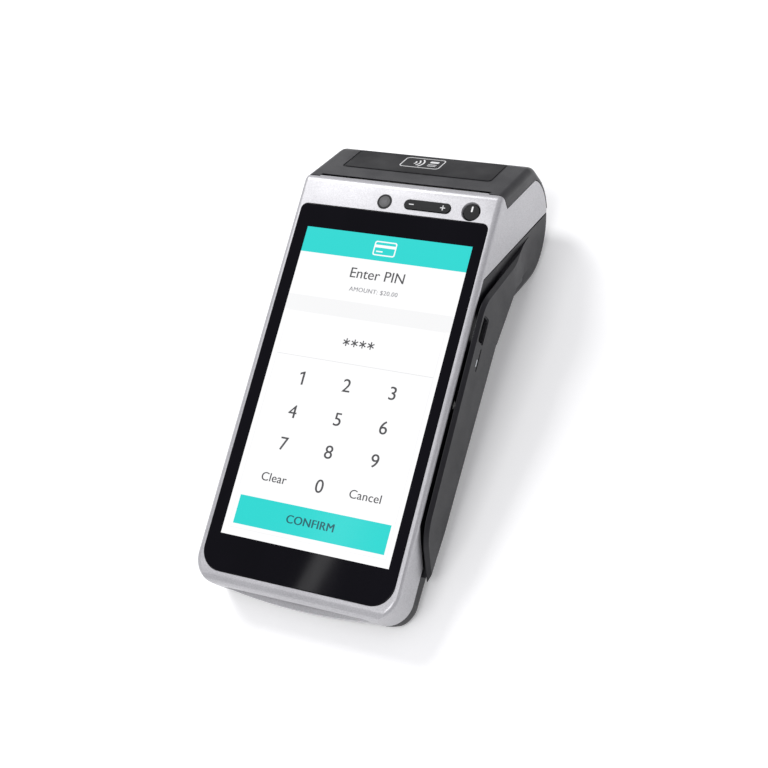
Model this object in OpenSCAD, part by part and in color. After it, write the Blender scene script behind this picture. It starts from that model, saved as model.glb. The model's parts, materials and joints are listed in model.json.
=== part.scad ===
// Handheld card payment terminal: 5.5 inch touch screen in a light front frame, a deep
// head with a receipt printer under a hinged paper door, a card swipe slot along the
// right side and a chip card slot in the bottom end.
//
// Every sub-part is drawn in the screen frame: origin at the centre of the display, x to
// the right, y towards the head, z out of the screen. place() then lays the terminal on
// its back on the table, with its origin at the middle of its footprint.

/* [Screen] */
// Visible width of the display
screen_w = 68.5; // [66:0.1:69]
// Visible height of the display
screen_h = 121.8; // [118:0.1:122]
// Width of the cover glass
glass_w = 77.4; // [76.6:0.1:77.6]
// Thickness of the cover glass
glass_t = 1.1; // [0.8:0.1:1.1]

/* [Body] */
// Half of the body width
half_w = 41.2; // [41:0.1:42]
// Wall thickness of the housings
wall = 2.0; // [1.8:0.1:2.2]
// Radius of the back edges
edge_r = 3.5; // [2.5:0.1:4]
// Radius of the lower corners seen from the front
corner_r = 10; // [9.5:0.5:12]
// Angle between the screen and the table
tilt = 12.9; // [12.6:0.1:13.2]

/* [Printer] */
// Radius of a full paper roll
roll_r = 19; // [15:0.5:19]
// Width of the paper
paper_w = 57.5; // [56:0.5:57.5]
// Radius of the rubber platen roller
platen_r = 3.75; // [3.5:0.05:3.8]
// Size of the gear teeth (module)
gear_mod = 0.4; // [0.4:0.01:0.4]

/* [Controls] */
// Diameter of the power key
power_d = 6.3; // [5.8:0.1:6.6]
// Length of the volume rocker
volume_l = 18.7; // [17:0.1:20]
// Width of the volume rocker
volume_w = 3.7; // [3.4:0.1:4]

/* [Slots] */
// Width of the swipe slot between body and rail
swipe_gap = 1.4; // [1.2:0.1:1.6]
// Depth of the swipe slot floor below the display
swipe_floor = 15; // [14:0.5:15]
// Width of the chip card slot
card_slot_w = 55.2; // [54.6:0.1:56]

/* [Hidden] */
$fn = 48;

// Levels along z, from the glass down
glass_top = 1.2;
front_z = 1.0;
glass_bottom = glass_top - glass_t;
gasket_t = 0.2;
strip_z = front_z - wall;
frame_end_z = -13.5;
seam = 0.2;

// Outline of the body seen from the side, as (y, z)
end_y = -79.6;
bevel_sum = 82;
roll_c = [81.5, -33.2];
head_r = 22.2;
back_slope = 3.8;
back_z0 = -25.65;
neck_r = 30;
front_top = [bevel_sum - front_z, front_z];
crown = [roll_c.x + head_r, bevel_sum - roll_c.x - head_r];
dive = [roll_c.x - head_r * cos(45), roll_c.y - head_r * sin(45)];
neck_y = (dive.x + dive.y - back_z0) / (1 - tan(back_slope));
neck = [neck_y, back_z0 - neck_y * tan(back_slope)];
heel = [-76.3, back_z0 + 76.3 * tan(back_slope)];

function unit(v) = v / norm(v);
function turned(v) = atan2(v.y, v.x);
function arc(c, r, a0, a1, n = 12) =
  [for (i = [0:n]) c + r * [cos(a0 + (a1 - a0) * i / n), sin(a0 + (a1 - a0) * i / n)]];

// Points of the arc of radius r that rounds the corner b between a and c
function fillet(a, b, c, r, n = 8) =
  let (u = unit(a - b), v = unit(c - b), h = acos(u * v) / 2)
  let (m = b + unit(u + v) * r / sin(h), t = r / tan(h))
  let (a0 = turned(b + u * t - m), a1 = turned(b + v * t - m))
  let (d = a1 - a0, s = d > 180 ? d - 360 : d < -180 ? d + 360 : d)
  arc(m, r, a0, a0 + s, n);

chin = [end_y, front_z];
chin_low = [end_y, frame_end_z - 0.5];
tail = [roll_c.x + head_r, roll_c.y];
body_side = concat(
  fillet(front_top, chin, chin_low, 4.2, 6),
  fillet(chin, chin_low, heel, 8, 4),
  fillet(chin_low, heel, neck, 6, 5),
  fillet(heel, neck, dive, neck_r, 8),
  arc(roll_c, head_r, -135, 0, 18),
  fillet(tail, crown, front_top, 8, 6),
  fillet(crown, front_top, chin, 4, 5)
);

// An outline drawn anticlockwise, moved inwards by d
function inward(a, b) = unit([a.y - b.y, b.x - a.x]);
function inset(p, d) = let (n = len(p)) [
  for (i = [0:n - 1])
    let (u = inward(p[(i + n - 1) % n], p[i]), v = inward(p[i], p[(i + 1) % n]))
      p[i] + d * (u + v) / (1 + u * v)
];

// Hinge of the paper door, at the back of the head
hinge_a = -46;
barrel_r = 1.4;
pin_r = 0.7;
pin_play = 0.04;
hinge_c = roll_c + (head_r - barrel_r) * [cos(hinge_a), sin(hinge_a)];
barrel_half = 34;
pin_in = 29;

// Seams between front frame, door and rear housing, seen from the side
arch_r = 19.4;
door_sum = 73;
wing_sum = 48.3;
far = 60;
door_tip = [79.3, door_sum - 79.3];
door_front = [81.2, -1.2];
door_gap = 0.35;
arch_a = 45 - acos((door_sum - roll_c.x - roll_c.y) / sqrt(2) / arch_r);
function arch(r, a0, a1) = arc(roll_c, r, a0, a1, 14);
function ray(a, l) = hinge_c + l * [cos(a), sin(a)];

frame_side = concat(
  [[-far * 2, far], [-far * 2, frame_end_z], [-56.3, frame_end_z]],
  [[-55.3 - (frame_end_z - strip_z) - 1, strip_z], [wing_sum - strip_z, strip_z]],
  arch(arch_r, -45, arch_a),
  [door_tip, door_front, door_front + [1.2, 3.6], [door_front.x + 1.2, far]]
);
housing_side = concat(
  [[-far * 2, -far * 2], [-far * 2, frame_end_z - seam], [-56.2, frame_end_z - seam]],
  [[-55.2 - (frame_end_z - strip_z) - 1, strip_z - seam]],
  [[wing_sum - strip_z - seam * 2, strip_z - seam], hinge_c - [seam, seam]],
  [ray(hinge_a - 45, far)]
);
door_side = concat(
  [door_front + [1.6, 3.5], door_front + [0.4, -0.1], door_tip + [0.5, 0]],
  arch(arch_r + door_gap, arch_a, hinge_a + 8),
  [hinge_c, ray(hinge_a + 45, far), [2 * far, far]]
);

// Paper slit in the bevel, measured along the bevel from its front edge
slit_half = 35.3;
slit_s = 1.9;
slit_gap = 1.7;
function on_bevel(s, w) = front_top + s * [cos(45), -sin(45)] - w * [cos(45), sin(45)];

// Printer: platen, head and gear train
platen_c = [79.8, -8.2];
head_a = -58;
motor_c = [60, -13];
teeth_pinion = 12;
teeth_idler = 40;
teeth_platen = 18;
gear_x = 33;
gear_w = 2.4;
span_pi = gear_mod * (teeth_pinion + teeth_idler) / 2;
span_ip = gear_mod * (teeth_idler + teeth_platen) / 2;
span_mp = norm(platen_c - motor_c);
idler_u = (span_pi * span_pi - span_ip * span_ip + span_mp * span_mp) / (2 * span_mp);
idler_v = sqrt(span_pi * span_pi - idler_u * idler_u);
mp = unit(platen_c - motor_c);
idler_c = motor_c + idler_u * mp + idler_v * [mp.y, -mp.x];
to_platen = turned(platen_c - idler_c);
to_pinion = turned(motor_c - idler_c);
idler_phase = to_platen;
platen_phase = to_platen + 180 + 180 / teeth_platen;
pinion_off = (to_pinion - to_platen + 720) % (360 / teeth_idler);
pinion_phase = to_pinion + 180 + 180 / teeth_pinion + pinion_off * teeth_idler / teeth_pinion;
plate_x = 31.3;
plate_t = 1.0;
arm_x = 29.3;
arm_t = 1.6;
shaft_r = 1.5;

// Keys and camera on the head
key_y = 74;
power_x = 30.4;
volume_x = 12.8;
camera_x = -4.9;
window_d = 5.8;
key_gap = 0.25;
key_top = 1.5;

// Swipe rail
rail_in = half_w + swipe_gap;
rail_out = rail_in + 1.5;
ledge_z = [-21, -swipe_floor];
port_c = [31.7, -6.1];
slit_c = [21, -8.4];

// Battery cover and battery, on the sloped back
cover_x = 31;
cover_y = [-64, 22];
cover_t = 1.8;
fit = 0.25;
battery_x = 28;
battery_y = [-58, 14];
battery_z = [3.6, 9.1];
cover_travel = 6;

// Lying on the table
rest_h = 37.37;
half_span = (rail_out - half_w) / 2;
shift_y = -15.69;
screw_at = [[-34.2, -70.2, -18], [34.2, -70.2, -18], [-35.6, 42.5, -26], [35.6, 42.5, -26]];
chassis_screw_at = [[-27, 55.5], [27, 67]];

module place() {
  translate([-half_span, shift_y, rest_h]) rotate([tilt, 0, 0]) children();
}
module along_x(len) {
  rotate([90, 0, 90]) linear_extrude(len, center = true) children();
}
module from_x(x, len) {
  translate([x, 0, 0]) rotate([90, 0, 90]) linear_extrude(len) children();
}
module rod_x(c, x, len, r) {
  translate([x, c.x, c.y]) rotate([0, 90, 0]) cylinder(r = r, h = len);
}
module block(x, y, z) {
  translate([x[0], y[0], z[0]]) cube([x[1] - x[0], y[1] - y[0], z[1] - z[0]]);
}
module both() {
  children();
  mirror([1, 0, 0]) children();
}
// Outline of the cover glass, moved outwards by grow
module pane(grow, z0, h) {
  translate([0, 0, z0]) linear_extrude(h)
    rounded(glass_w + 2 * grow, -74.9 - grow, 69.9 + grow, 8.4 + grow, 2.5 + grow);
}
// Plate with rounded corners, centred in x, between y0 and y1
module plate(w, y0, y1, r, z0, h) {
  translate([0, 0, z0]) linear_extrude(h) rounded(w, y0, y1, r, r);
}
module rounded(w, y0, y1, r0, r1) {
  polygon(concat(
    fillet([-w / 2, y1], [-w / 2, y0], [w / 2, y0], r0, 10),
    fillet([-w / 2, y0], [w / 2, y0], [w / 2, y1], r0, 10),
    fillet([w / 2, y0], [w / 2, y1], [-w / 2, y1], r1, 6),
    fillet([w / 2, y1], [-w / 2, y1], [-w / 2, y0], r1, 6)
  ));
}
// Solid with the body's side outline, its side edges rounded to radius r
module soft_prism(r, steps) {
  n = len(body_side);
  turns = [for (j = [0:steps]) 90 * j / steps];
  right = [for (a = turns) [half_w - r + r * sin(a), r - r * cos(a)]];
  left = [for (j = [steps:-1:0]) [-right[j][0], right[j][1]]];
  rings = concat(left, right);
  m = len(rings);
  polyhedron(
    points = [for (g = rings, q = inset(body_side, g[1])) [g[0], q.x, q.y]],
    faces = concat(
      [[for (i = [0:n - 1]) (i + n - 1) % n], [for (i = [n - 1:-1:0]) (m - 1) * n + i]],
      [for (k = [0:m - 2], i = [0:n - 1])
        [k * n + i, (k + 1) * n + i, (k + 1) * n + (i + 1) % n, k * n + (i + 1) % n]]
    )
  );
}
// What the lower corners lose to their rounding, seen from the front
corner_z = -21.1;
module corner_cuts(r) {
  both() difference() {
    block([half_w - corner_r, half_w + 1], [end_y - 1, end_y + corner_r], [-far, front_z + 1]);
    translate([half_w - corner_r, end_y + corner_r, 0]) rotate_extrude() polygon(concat(
      [[0, corner_z]],
      arc([corner_r - edge_r, corner_z + edge_r], edge_r, -90, 0, 4),
      arc([corner_r - r, front_z - r], r, 0, 90, 6),
      [[0, front_z]]
    ));
  }
}
module body_solid(r, steps = 4) {
  difference() {
    soft_prism(r, steps);
    corner_cuts(2);
  }
}
module body_cavity() {
  intersection() {
    along_x(2 * (half_w - wall)) polygon(inset(body_side, wall));
    translate([0, 0, -far]) linear_extrude(2 * far)
      rounded(2 * (half_w - wall), end_y + wall, 2 * far, corner_r - wall, 1);
  }
}
module on_back() {
  translate([0, 0, back_z0]) rotate([-back_slope, 0, 0]) children();
}
module gear(n, w, phase) {
  r = gear_mod * n / 2;
  step = 360 / n;
  rotate([90, 0, 90]) rotate(phase) linear_extrude(w) polygon([
    for (i = [0:n - 1], p = [[-0.36, -1.2], [-0.23, 0], [-0.1, 0.85], [0.1, 0.85],
                             [0.23, 0], [0.36, -1.2]])
      (r + p.y * gear_mod) * [cos((i + p.x) * step), sin((i + p.x) * step)]
  ]);
}

// ---- front frame and screen ----

module card_mouth() {
  hull() {
    block([-card_slot_w / 2, card_slot_w / 2], [end_y + 1.2, end_y + 3], [-7.1, -5.2]);
    block([-29, 29], [end_y - 3, end_y + 0.1], [-8, -4.3]);
  }
}
// Crescent scooped out of the end above the lip
module card_scoop() {
  scoop_r = 280;
  intersection() {
    translate([0, -78.1 - scoop_r, -8]) cylinder(r = scoop_r, h = 4.6, $fn = 360);
    block([-31, 31], [end_y - 3, end_y + 2], [-8, -3]);
  }
}
module card_lip() {
  lip_r = 226;
  lip_y = -81.5;
  intersection() {
    translate([0, lip_y + lip_r, -12.8]) cylinder(r = lip_r, h = 4.8, $fn = 360);
    block([-31, 31], [lip_y - 1, end_y + 1.9], [-13, -7.9]);
  }
}
module frame_boss(p) {
  translate([p.x, p.y, -11]) cylinder(r = 2.6, h = 11 + strip_z + 0.2);
}
module front_frame() {
  color("silver") place() difference() {
    union() {
      intersection() {
        difference() {
          body_solid(2, 3);
          body_cavity();
        }
        along_x(3 * half_w) polygon(frame_side);
      }
      along_x(2 * slit_half - 0.2) polygon([
        on_bevel(0.2, 0.5), on_bevel(1.66, 0.02), on_bevel(slit_s, 0.02), on_bevel(slit_s, 1.2),
        on_bevel(0.9, 2.2), on_bevel(0.2, 2.2)
      ]);
      card_lip();
      for (p = screw_at) frame_boss(p);
    }
    pane(0.15, glass_bottom - gasket_t, 3);
    plate(glass_w - 7, -66, 65.5, 1, -4, 8);
    card_mouth();
    card_scoop();
    block([-card_slot_w / 2, card_slot_w / 2], [end_y - 3, end_y + 9], [-7.1, -5.2]);
    translate([camera_x, key_y, -4]) cylinder(d = window_d + 0.2, h = 8);
    translate([power_x, key_y, -4]) cylinder(d = power_d + 2 * key_gap, h = 8);
    translate([power_x, key_y, -0.1]) cylinder(d1 = power_d + 0.5, d2 = power_d + 1.3, h = 1.15);
    pill(volume_l + 2 * key_gap, volume_w + 2 * key_gap, -4, 8);
    for (p = screw_at) translate([p.x, p.y, -12]) cylinder(r = 1.0, h = 9);
  }
}
module pill(l, w, z0, h) {
  translate([volume_x, key_y, z0]) linear_extrude(h) union() {
    square([l - w, w], center = true);
    for (s = [-1, 1]) translate([s * (l - w) / 2, 0]) circle(d = w);
  }
}
module cover_glass() {
  color([0.04, 0.04, 0.06]) place() pane(0, glass_bottom, glass_t);
}
module glass_gasket() {
  color([0.1, 0.1, 0.1]) place() difference() {
    pane(-0.2, glass_bottom - gasket_t, gasket_t);
    plate(glass_w - 6.6, -66.2, 65.7, 2, -1, 2);
  }
}
module lcd_panel() {
  color("white") place() block(
    [-35, 35], [-65.2, 62.2], [glass_bottom - 1.1, glass_bottom]);
}
module lcd_backlight() {
  color("whitesmoke") place() block([-35, 35], [-65.2, 62.2], [-2.2, glass_bottom - 1.1]);
}
module screen_carrier() {
  color("darkgray") place() difference() {
    union() {
      block([-38.4, 38.4], [-66.5, 68.5], [-3.2, -2.2]);
      for (p = chassis_screw_at) translate([p.x, p.y, -5.2]) cylinder(r = 2.2, h = 2.5);
    }
    for (p = chassis_screw_at) translate([p.x, p.y, -6]) cylinder(r = 1.0, h = 3.2);
    for (y = [-60, 56], x = [-37, 37]) translate([x, y, -4]) cylinder(r = 0.6, h = 3);
    for (p = screw_at) translate([p.x, p.y, -5]) cylinder(r = 2.9, h = 4);
  }
}

module tear_bar() {
  color("silver") place() along_x(66) polygon([
    on_bevel(slit_s, 0.5), on_bevel(slit_s + 0.28, 0.5), on_bevel(slit_s + 0.28, 1.7),
    on_bevel(slit_s, 1.7)
  ]);
}

// ---- keys and camera ----

module camera_window() {
  color([0.2, 0.2, 0.22]) place()
    translate([camera_x, key_y, 0]) cylinder(d = window_d, h = 1.1);
}
module front_camera() {
  color([0.15, 0.15, 0.15]) place() {
    translate([camera_x, key_y, -3.2]) cylinder(d = 4.4, h = 3.2);
    block([camera_x - 3, camera_x + 3], [key_y - 2.6, key_y + 2.6], [-4.2, -3.2]);
  }
}
module volume_rocker() {
  color([0.15, 0.15, 0.16]) place() {
    pill(volume_l, volume_w, -0.9, key_top + 0.9);
    block([volume_x - 0.8, volume_x + 0.8], [key_y - 1.2, key_y + 1.2], [-1.5, -0.9]);
    translate([volume_x, key_y + 1.2, -1.5]) rotate([90, 0, 0]) cylinder(r = 0.8, h = 2.4);
    for (s = [-1, 1]) translate([volume_x + s * 7, key_y, -1.3]) cylinder(r = 0.8, h = 0.5);
  }
}
module power_button() {
  color([0.15, 0.15, 0.16]) place() {
    translate([power_x, key_y, -0.9]) cylinder(d = power_d, h = 1.25);
    translate([power_x, key_y, -1.3]) cylinder(r = 0.8, h = 0.5);
  }
}
module key_switches() {
  color("silver") place() for (x = [volume_x - 7, volume_x + 7, power_x]) {
    block([x - 1.6, x + 1.6], [key_y - 1.6, key_y + 1.6], [-2.6, -2.2]);
    translate([x, key_y, -2.2]) cylinder(r = 0.9, h = 0.3);
  }
}
module key_board() {
  color("darkgreen") place() block([1, 35.5], [71.4, 76.6], [-3.2, -2.6]);
}

// ---- paper door ----

module door_shell() {
  difference() {
    intersection() {
      difference() {
        body_solid(edge_r - 1);
        body_cavity();
      }
      along_x(3 * half_w) polygon(door_side);
    }
    along_x(2 * slit_half) polygon([
      on_bevel(-4, -3), on_bevel(slit_s + slit_gap, -3), on_bevel(slit_s + slit_gap, 0.35),
      on_bevel(slit_s + slit_gap + 4.2, wall + 0.1), on_bevel(slit_s + slit_gap + 4.2, 6),
      on_bevel(-4, 6)
    ]);
  }
}
// Inset panel on the bevel: outline on the bevel plane, then sunk into it
module panel_shape(grow, front, top, deep) {
  translate([0, front_top.x, front_top.y]) rotate([-45, 0, 0])
    translate([0, 0, -deep]) linear_extrude(top + deep)
      rounded(61.6 + 2 * grow, 13.4 - front, 30.2 + grow, 1.5 + grow, 1.5 + grow);
}
module paper_door() {
  color([0.25, 0.25, 0.27]) place() difference() {
    union() {
      door_shell();
      rod_x(hinge_c, -barrel_half, 2 * barrel_half, barrel_r);
      both() from_x(arm_x, arm_t) hull() {
        translate(platen_c) circle(r = 3.4);
        polygon([on_bevel(4.2, 1.8), on_bevel(14, 1.8), on_bevel(12, 4)]);
      }
    }
    panel_shape(0.7, 1.2, 1, 1.0);
    both() rod_x(hinge_c, pin_in, 20, pin_r + pin_play);
    both() rod_x(hinge_c, barrel_half, 20, barrel_r + 0.3);
    rod_x(platen_c, -40, 80, shaft_r + 0.05);
  }
}
module door_panel() {
  color([0.22, 0.22, 0.24]) place() panel_shape(0, 0, 0, 0.98);
}
module nfc_antenna() {
  color([0.72, 0.45, 0.2]) place() translate([0, front_top.x, front_top.y])
    rotate([-45, 0, 0]) translate([0, 0, -wall - 0.35]) linear_extrude(0.3) difference() {
      rounded(50, 15, 28.6, 1.5, 1.5);
      rounded(43, 18.4, 25.2, 1, 1);
    }
}
module door_hinge_pins() {
  color("silver") place() both() rod_x(hinge_c, pin_in, 9.8, pin_r);
}

// ---- printer ----

module platen_roller() {
  color([0.12, 0.12, 0.12]) place() difference() {
    rod_x(platen_c, -28.6, 57.2, platen_r);
    rod_x(platen_c, -29, 58, shaft_r);
  }
}
module platen_shaft() {
  color("silver") place() rod_x(platen_c, -33, 33 + gear_x + gear_w + 0.3, shaft_r);
}
module platen_gear() {
  color("white") place() difference() {
    translate([gear_x, platen_c.x, platen_c.y]) gear(teeth_platen, gear_w, platen_phase);
    rod_x(platen_c, gear_x - 1, 5, shaft_r);
  }
}
module platen_bushings() {
  color([0.75, 0.6, 0.3]) place() both() difference() {
    rod_x(platen_c, plate_x - 0.3, plate_t + 0.6, 2.6);
    rod_x(platen_c, plate_x - 1, 4, shaft_r + 0.03);
  }
}
open_dir = turned([platen_c.y - hinge_c.y, hinge_c.x - platen_c.x]);
module chassis_plate() {
  difference() {
    polygon([[52, -22], [52, -5.2], [70, -5.2], [78, -4.6], [84, -7], [84, -13.5], [76, -24]]);
    hull() {
      translate(platen_c) circle(r = 2.75);
      translate(platen_c + 12 * [cos(open_dir), sin(open_dir)]) circle(r = 4.4);
    }
    translate(motor_c) circle(r = 3.2);
    translate(idler_c) circle(r = 1.02);
  }
}
module printer_chassis() {
  color("gainsboro") place() {
    both() from_x(plate_x, plate_t) chassis_plate();
    block([-plate_x, plate_x], [52, 53], [-22, -5.2]);
    difference() {
      block([-plate_x, plate_x], [53, 69.5], [-6.2, -5.2]);
      for (p = chassis_screw_at) translate([p.x, p.y, -8]) cylinder(r = 1.05, h = 5);
    }
  }
}
module at_head() {
  translate([0, platen_c.x, platen_c.y]) rotate([head_a, 0, 0]) children();
}
module print_head() {
  color([0.55, 0.4, 0.3]) place() at_head()
    block([-27, 27], [-platen_r - 1.05, -platen_r - 0.05], [-6.6, 1.4]);
}
module head_heat_sink() {
  color("silver") place() at_head()
    block([-27, 27], [-platen_r - 2.6, -platen_r - 1.05], [-6.6, -2.6]);
}
module head_springs() {
  color("gray") place() at_head() for (x = [-18, 0, 18])
    translate([x, -platen_r - 2.6, -4.4]) rotate([90, 0, 0])
      for (k = [0:2]) translate([0, 0, 0.15 + 0.5 * k]) rotate_extrude()
        translate([1.3, 0]) circle(r = 0.16, $fn = 16);
}
module feed_motor() {
  color("lightgray") place() {
    rod_x(motor_c, 17, plate_x - 17, 6.6);
    rod_x(motor_c, plate_x, 1.1, 2.4);
    rod_x(motor_c, plate_x + 1.1, 0.4, 0.75);
  }
}
module motor_pinion() {
  color([0.8, 0.65, 0.3]) place()
    translate([gear_x, motor_c.x, motor_c.y]) gear(teeth_pinion, gear_w, pinion_phase);
}
module idler_gear() {
  color("white") place() difference() {
    translate([gear_x, idler_c.x, idler_c.y]) gear(teeth_idler, gear_w, idler_phase);
    rod_x(idler_c, gear_x - 1, 6, 1.04);
    for (a = [0:60:300])
      rod_x(idler_c + 4.6 * [cos(a), sin(a)], gear_x - 1, 6, 1.3);
  }
}
module idler_axle() {
  color("silver") place() {
    rod_x(idler_c, plate_x, gear_x + gear_w + 0.3 - plate_x, 1.0);
    rod_x(idler_c, gear_x + gear_w + 0.3, 0.5, 1.7);
  }
}
module paper_roll() {
  color("white") place() difference() {
    rod_x(roll_c, -paper_w / 2, paper_w, roll_r);
    rod_x(roll_c, -paper_w, 2 * paper_w, 6.5);
  }
}
module roll_core() {
  color([0.6, 0.45, 0.3]) place() difference() {
    rod_x(roll_c, -paper_w / 2, paper_w, 6.5);
    rod_x(roll_c, -paper_w, 2 * paper_w, 5.2);
  }
}
module paper_bucket() {
  color([0.3, 0.3, 0.32]) place() {
    along_x(2 * 29.3) polygon(concat(
      arc(roll_c, roll_r + 0.5, 132, 212, 16), arc(roll_c, roll_r + 1.3, 212, 132, 16)));
  }
}

// ---- rear housing and swipe slot ----

module housing_boss(p) {
  translate([p.x, p.y, p.z - 2]) cylinder(r = 3.4, h = -11.2 - p.z + 2);
}
module housing_screw_hole(p) {
  translate([p.x, p.y, p.z - 9]) cylinder(r = 2.2, h = 9);
  translate([p.x, p.y, p.z - 9]) cylinder(r = 1.25, h = 30);
}
module rear_housing() {
  color([0.27, 0.27, 0.29]) place() difference() {
    union() {
      intersection() {
        difference() {
          body_solid(edge_r);
          body_cavity();
        }
        along_x(3 * half_w) polygon(housing_side);
      }
      on_back() plate(2 * cover_x + 4, cover_y[0] - 1.4, cover_y[1] + cover_travel + 2, 5, 1.6, 1.8);
      for (p = screw_at) housing_boss(p);
      both() from_x(barrel_half + 0.3, half_w - wall - barrel_half) hull() {
        translate(hinge_c) circle(r = barrel_r);
        translate(hinge_c + [-9, -2.5]) circle(r = barrel_r);
      }
      from_x(half_w - 0.5, rail_in - half_w + 0.5) polygon([
        [-59.5, ledge_z[1]], [57, ledge_z[1]], [61, -20], [56, -26.8], [30, -23.8],
        [0, -22], [-42, -20.2], [-56, -18]
      ]);
    }
    both() rod_x(hinge_c, pin_in, 20, pin_r + 0.01);
    rod_x(hinge_c, -barrel_half - 0.2, 2 * barrel_half + 0.4, barrel_r + 0.2);
    for (p = screw_at) housing_screw_hole(p);
    on_back() {
      plate(2 * cover_x, cover_y[0], cover_y[1] + cover_travel + fit, 4, -4, 4 + cover_t + fit);
      plate(2 * battery_x + 1.2, battery_y[0] - 0.6, battery_y[1] + 0.6, 1, -4, 12);
      for (i = [0:5], j = [0:2]) translate([-14 + 4 * i, -71.5 + 2.6 * j, -2])
        cylinder(r = 0.8, h = 8, $fn = 16);
    }
    block([38, 42], [-4.2, 8.2], [-12.6, -2.9]);
    block([38, 42], [port_c.x - 4.6, port_c.x + 4.6], [port_c.y - 1.8, port_c.y + 1.8]);
  }
}
rail_slope = 0.875;
rail_top = [41.2, -0.9];
function on_rail(y) = [y, rail_top.y - rail_slope * (y - rail_top.x)];
rail_side = concat(
  [[-60.6, -17.1]],
  fillet([-60.6, -17.1], [-46.8, -1.6], [0, -0.2], 16, 8),
  fillet([0, -0.2], rail_top, on_rail(64), 14, 8),
  [on_rail(64), [57, -24.6], [30, -23.4], [0, -21.6], [-42, -19.8], [-54, -18]]
);
rail_neck = [[40, -5], on_rail(66), [60, -30.5], [30, -23.6]];
rail_root = [on_rail(52), on_rail(79.6), [76, -46], [70, -43], [52, -26]];

// Flat bar beside the body with its outer edges bevelled
module bar(outline) {
  bevel = 1.4;
  rim = 0.2;
  hull() {
    from_x(rail_in, rim) polygon(outline);
    from_x(rail_out - rim, rim) offset(delta = -bevel) polygon(outline);
  }
}
// Everything inside the rail's outer face, which sinks into the head at its upper end
module rail_reach() {
  fade = [57, 80.5];
  low = half_w + 0.15;
  steps = 10;
  rotate([-45, 0, 0]) translate([0, 0, -2 * far]) linear_extrude(4 * far) polygon(concat(
    [[0, 2 * far], [0, -2 * far], [rail_out, -2 * far]],
    [for (i = [0:steps]) [low + (rail_out - low) * (1 + cos(180 * i / steps)) / 2,
                          fade[0] + (fade[1] - fade[0]) * i / steps]],
    [[low, 2 * far]]
  ));
}
module swipe_rail() {
  color([0.27, 0.27, 0.29]) place() difference() {
    intersection() {
      union() {
        bar(rail_side);
        bar(rail_neck);
        bar(rail_root);
        from_x(half_w + 0.02, rail_in - half_w + 0.1) polygon([
          on_rail(57.6), on_rail(79.6), [76, -46], [70, -43], [56.4, -27.2], [61.3, -20]
        ]);
      }
      rail_reach();
    }
    translate([rail_out - 4, port_c.x, port_c.y]) port_window(9.2, 4.3, 5);
    translate([rail_out - 0.3, port_c.x, port_c.y]) port_window(10.2, 5.3, 1);
    translate([rail_out - 3, slit_c.x, slit_c.y]) rotate([0, 90, 0])
      linear_extrude(4) square([0.8, 8.6], center = true);
    translate([rail_out - 0.7, slit_c.x - 1.4, slit_c.y + 1.1]) rotate([0, 90, 0])
      linear_extrude(2) square([0.8, 2.8], center = true);
  }
}
module port_window(l, w, h) {
  rotate([90, 0, 90]) linear_extrude(h) offset(r = 1) square([l - 2, w - 2], center = true);
}
// Outline with round ends along y, extruded along x
module port_pill(l, w, h) {
  rotate([90, 0, 90]) linear_extrude(h) union() {
    square([l - w, w], center = true);
    for (s = [-1, 1]) translate([s * (l - w) / 2, 0]) circle(d = w);
  }
}
module mag_read_head() {
  color("silver") place() {
    block([37.2, 41.1], [-3.8, 7.8], [-12.3, -3.3]);
    translate([39.3, 2, -12.2]) intersection() {
      cylinder(r = 2.3, h = 8.6);
      block([1.8, 4], [-3, 3], [0, 9]);
    }
  }
}
module mag_head_spring() {
  color("gainsboro") place() {
    block([36.6, 37.0], [-12, 16], [-9.4, -6.2]);
    block([37.0, 37.2], [-1, 5], [-9.4, -6.2]);
    for (y = [-12, 14]) block([37.0, 39.1], [y, y + 2], [-9.4, -6.2]);
  }
}
module usb_port() {
  color("silver") place() translate([0, port_c.x, port_c.y]) {
    difference() {
      translate([34, 0, 0]) port_pill(8.9, 3.3, 7.1);
      translate([34.8, 0, 0]) port_pill(8.3, 2.7, 7);
    }
    block([34.8, 40.4], [-3.2, 3.2], [-0.35, 0.35]);
  }
}
module status_light() {
  color([0.9, 0.95, 1]) place()
    translate([rail_out - 0.7, slit_c.x - 1.4, slit_c.y + 1.1]) rotate([0, 90, 0])
      linear_extrude(0.65) square([0.7, 2.7], center = true);
}

// ---- battery ----

module battery_cover() {
  color([0.25, 0.25, 0.27]) place() on_back() difference() {
    union() {
      plate(2 * (cover_x - fit), cover_y[0] + fit, cover_y[1] - fit, 3.8, 0, cover_t);
      for (x = [-22, 22]) block([x - 3, x + 3], [battery_y[0] + 4, battery_y[0] + 5.4],
                                [cover_t, cover_t + 0.5]);
    }
    for (i = [0:4]) plate(16, 14 + 1.3 * i, 14.6 + 1.3 * i, 0.25, -1, 1.35);
  }
}
module battery_pack() {
  color([0.16, 0.16, 0.18]) place() on_back() difference() {
    plate(2 * battery_x, battery_y[0], battery_y[1], 2.5, battery_z[0],
          battery_z[1] - battery_z[0]);
    for (i = [-1:1]) block([3 * i - 0.9, 3 * i + 0.9], [battery_y[1] - 1.2, battery_y[1] + 1],
                           [6.8, 10]);
  }
}
module battery_tray() {
  color([0.2, 0.2, 0.22]) place() on_back() {
    difference() {
      plate(2 * battery_x + 3.6, battery_y[0] - 1.8, battery_y[1] + 3.4, 1, 3.4, 6.4);
      plate(2 * battery_x + 0.8, battery_y[0] - 0.4, battery_y[1] + 2.2, 1, 2.9, 6.3);
    }
  }
}
module battery_contacts() {
  color("gold") place() on_back() for (i = [-1:1])
    block([3 * i - 0.5, 3 * i + 0.5], [battery_y[1] - 1.0, battery_y[1] + 2.2], [7.6, 8.2]);
}

// ---- electronics ----

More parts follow.
